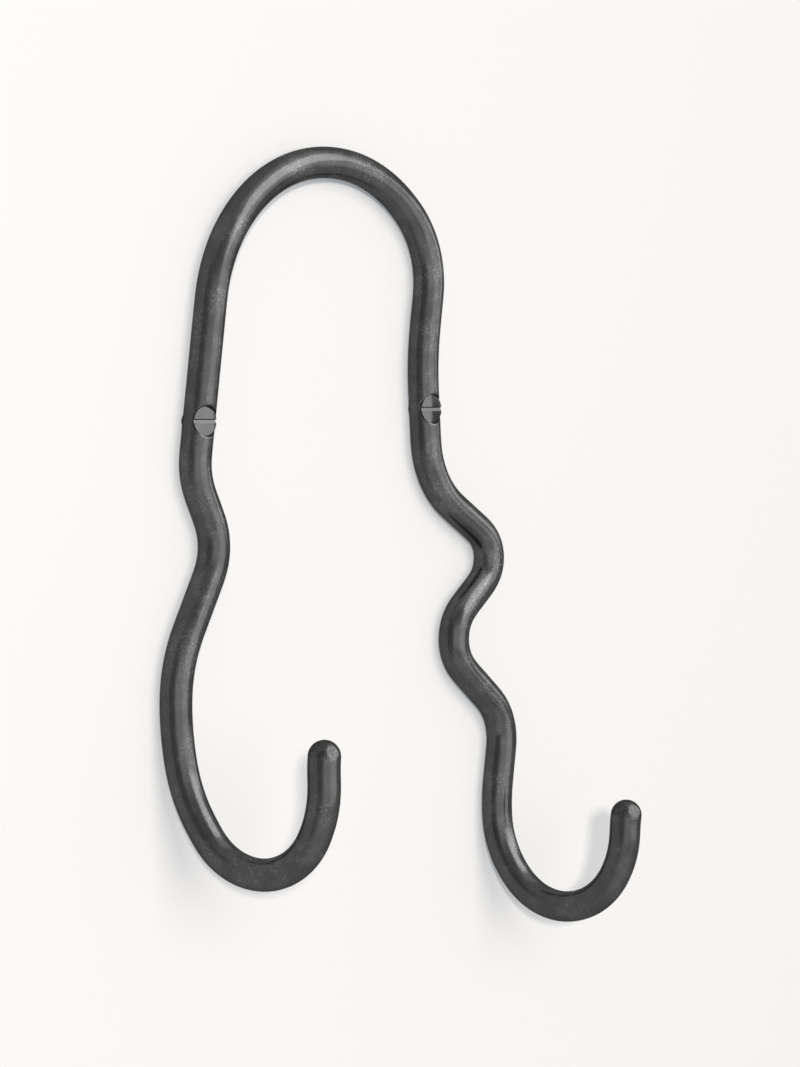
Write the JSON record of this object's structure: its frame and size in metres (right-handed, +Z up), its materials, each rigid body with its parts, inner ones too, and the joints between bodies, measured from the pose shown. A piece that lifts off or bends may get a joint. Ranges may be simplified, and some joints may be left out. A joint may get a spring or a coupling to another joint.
{
  "type": "wall hook",
  "caption": "Round dark metal rod bent as an arch with two wavy legs, each ending in a forward hook, held to a wall by slotted countersunk screws.",
  "frame": {"origin": "on the wall's face, where the left screw enters it", "axes": "+X to the right along the wall, +Y into the wall along the screws, +Z up"},
  "size_m": [0.1292, 0.0724, 0.2019],
  "materials": {
    "blackened_rod": "blackened and waxed, satin",
    "screw_metal": "blackened, satin"
  },
  "bodies": {
    "root": {"hook_rod": "blackened_rod", "left_screw": "screw_metal", "right_screw": "screw_metal"}
  },
  "joints": []
}
